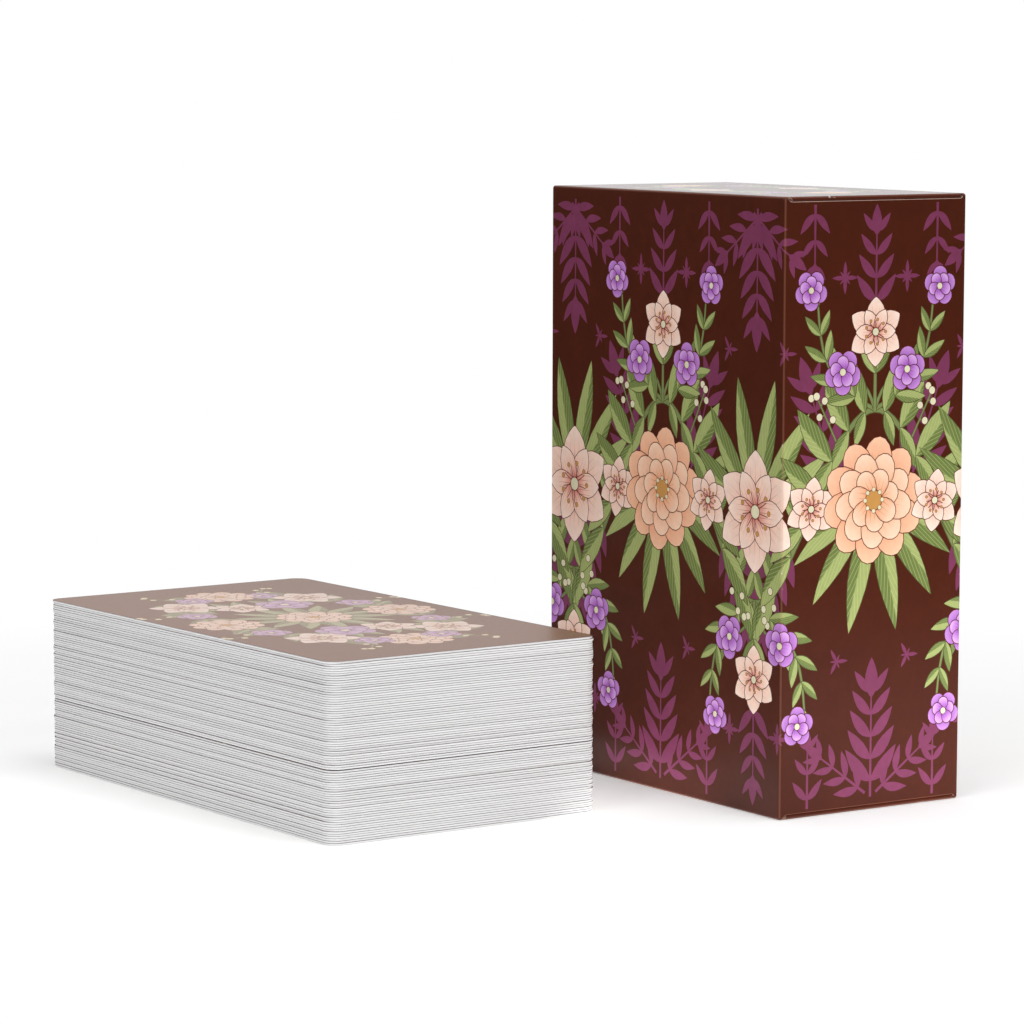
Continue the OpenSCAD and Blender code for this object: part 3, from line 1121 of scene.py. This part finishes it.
sleeve_sheet()
end_sheet("printed_lid", "lid", "lid_panel", False)
end_sheet("printed_base", "carton", "base_panel", True)
card_sheets("top_card_print", "top_card", "pentacles_king", back_on=0, face_on=0, emblem=coin_emblem)
card_sheets("upper_packet_top", "upper_packet", "pentacles_page_knight_queen", back_on=2)
card_sheets("upper_packet_bottom", "upper_packet", "wands_page_knight_queen", face_on=0, emblem=staff_emblem)
card_sheets("lower_packet_top", "lower_packet", "wands_nine_ten", back_on=1)
card_sheets("lower_packet_bottom", "lower_packet", "major_00", face_on=0, emblem=sun_emblem)

# Nodes that keep their own mesh: flaps, by the way their print faces, and cards inside the packets
PRINTED_SIDES = {
    (0.0, 0.0, -1.0): ("base_dust_flap_front", "base_dust_flap_back"),
    (0.0, 0.0, 1.0): ("lid_dust_flap_front", "lid_dust_flap_back"),
    (0.0, 1.0, 0.0): ("glue_flap",),
    (1.0, 0.0, 0.0): ("lid_tuck_tab", "base_tuck_tab"),
}


def dress(names, material):
    for name in names:
        materials = nodes[name].data.materials
        materials.clear()
        materials.append(material)


for i, (axis, names) in enumerate(PRINTED_SIDES.items()):
    dress(names, two_sided(f"board_sides_{i}", axis))
for body in ("lower_packet", "upper_packet"):
    dress(frame["record"]["behaviour"]["bodies"][body], STOCK[body])

# Camera, as fitted to the corners of the pack and the carton

CAMERA = Vector((0.73748, -0.55869, 0.16593))
HEADING = radians(56.244)
PITCH = radians(6.431)
ROLL = radians(0.148)
LENS = 142.92


def aim(item, ahead, roll=0.0):
    item.rotation_mode = "QUATERNION"
    item.rotation_quaternion = ahead.to_track_quat("-Z", "Y") @ Quaternion((0, 0, 1), roll)


def add_camera():
    data = bpy.data.cameras.new("camera")
    data.lens, data.sensor_width = LENS, 36.0
    data.clip_start, data.clip_end = 0.01, 50.0
    camera = new_object("camera", data)
    level = cos(PITCH)
    ahead = Vector((-sin(HEADING) * level, cos(HEADING) * level, -sin(PITCH)))
    camera.location = CAMERA
    aim(camera, ahead, ROLL)
    bpy.context.scene.camera = camera


# Stage

# The table is white near the part and painted darker outwards, a painted fall-off of the light; out there camera
# and mirrors see a white glow
FLOOR_Z = -0.00005
FLOOR_HALF = 6.0
TABLE_MIDDLE = (-0.03, -0.05, 0.0)
TABLE_WHITES = (tone(0xF6F6F6), tone(0xF8F8F8))
TABLE_FAR_PAINTED_SHADE = tone(0x787878)
TABLE_SHADE_FADE, GLOW_REACH, SHEEN_REACH = (0.2, 0.5), (0.12, 0.3), (0.1, 0.6)
BACKDROP_SIDE = (-0.83, 0.55, 0.0)

# Light that the table adds where it is seen, where the walls mirror it, and where it lights them
TABLE_LIFT = 0.22
TABLE_SHEEN = 0.4
TABLE_BOUNCE = 2.3

# Patches of table that light the walls: middle, and where the light starts to fade and ends
BOUNCES = (((0.1, 0.03, 0.0), 0.03, 0.1), ((0.0, -0.04, 0.0), 0.01, 0.035))


def towards_backdrop(tree, direction):
    """1 towards the backdrop behind the part, and 0 to the sides and in front."""
    unit = tree.add("VectorMath", {0: direction}, operation="NORMALIZE").outputs["Vector"]
    return tree.remap(tree.measure("DOT_PRODUCT", unit, BACKDROP_SIDE), 0.5, 0.85)


def seen(tree, direction):
    """1 for what the camera sees, also through glass, and for the backdrop where it is mirrored."""
    path = tree.add("LightPath").outputs
    mirrored = tree.times(path["Is Glossy Ray"], towards_backdrop(tree, direction))
    total = tree.math("ADD", path["Is Camera Ray"], path["Is Transmission Ray"])
    return tree.math("ADD", total, mirrored, clamp=True)


def add_floor():
    mesh = bpy.data.meshes.new("floor")
    corners = [(x * FLOOR_HALF, y * FLOOR_HALF, 0) for x, y in ((-1, -1), (1, -1), (1, 1), (-1, 1))]
    mesh.from_pydata(corners, [], [(0, 1, 2, 3)])
    floor = new_object("floor", mesh)
    floor.location.z = FLOOR_Z
    tree = new_material("floor")
    vector, _ = tree.place()
    away = tree.measure("DISTANCE", vector, TABLE_MIDDLE)
    colour = tree.mix(tree.remap(tree.noise(vector, 60.0, 3.0), 0.3, 0.7), *TABLE_WHITES)
    # Painted shade: the table darker further from the middle
    colour = tree.mix(tree.remap(away, *TABLE_SHADE_FADE), colour, TABLE_FAR_PAINTED_SHADE)
    matte = tree.add("BsdfDiffuse", {"Color": colour}).outputs[0]
    from_middle = tree.add("VectorMath", {0: vector, 1: TABLE_MIDDLE}, operation="SUBTRACT").outputs["Vector"]
    visible = seen(tree, from_middle)
    path = tree.add("LightPath").outputs
    mirrored = tree.times(path["Is Glossy Ray"], tree.remap(away, *SHEEN_REACH, TABLE_SHEEN, 0.0))
    bounced = 0.0
    for middle, full, none in BOUNCES:
        beside = tree.measure("DISTANCE", vector, middle)
        bounced = tree.math("ADD", bounced, tree.remap(beside, full, none, TABLE_BOUNCE, 0.0))
    bounced = tree.times(path["Is Diffuse Ray"], bounced)
    strength = tree.math("ADD", tree.math("ADD", mirrored, bounced), tree.times(visible, TABLE_LIFT))
    lift = tree.add("Emission", {"Strength": strength}).outputs[0]
    near = tree.add("AddShader", {0: matte, 1: lift}).outputs[0]
    glow = tree.add("Emission", {"Strength": 1.0}).outputs[0]
    far = tree.times(tree.remap(away, *GLOW_REACH), visible)
    mesh.materials.append(tree.output(tree.add("MixShader", {0: far, 1: near, 2: glow}).outputs[0]))


WORLD_FILL = 0.3


def add_world():
    world = bpy.data.worlds.new("world")
    tree = Tree(world)
    level = tree.remap(seen(tree, tree.add("TexCoord").outputs["Generated"]), 0.0, 1.0, WORLD_FILL, 1.0)
    background = tree.add("Background", {"Color": (1, 1, 1, 1), "Strength": level})
    tree.add("OutputWorld", {"Surface": background.outputs[0]})
    bpy.context.scene.world = world


# Name, place, size and power of each lamp, all aimed at one point
LAMPS = (
    ("key", (0.85, 0.08, 0.5), 0.6, 2.6),
    ("overhead", (0.12, 0.1, 1.0), 0.8, 4.4),
    ("front_fill", (0.3, -0.85, 0.5), 0.6, 3.2),
)
LAMP_TARGET = Vector((-0.02, -0.04, 0.04))


def add_lamps():
    for name, place, size, power in LAMPS:
        data = bpy.data.lights.new(name, "AREA")
        data.size, data.energy = size, power
        lamp = new_object(name, data)
        lamp.location = place
        aim(lamp, LAMP_TARGET - lamp.location)


add_camera()
add_floor()
add_world()
add_lamps()
bpy.context.scene.view_settings.view_transform = "Standard"
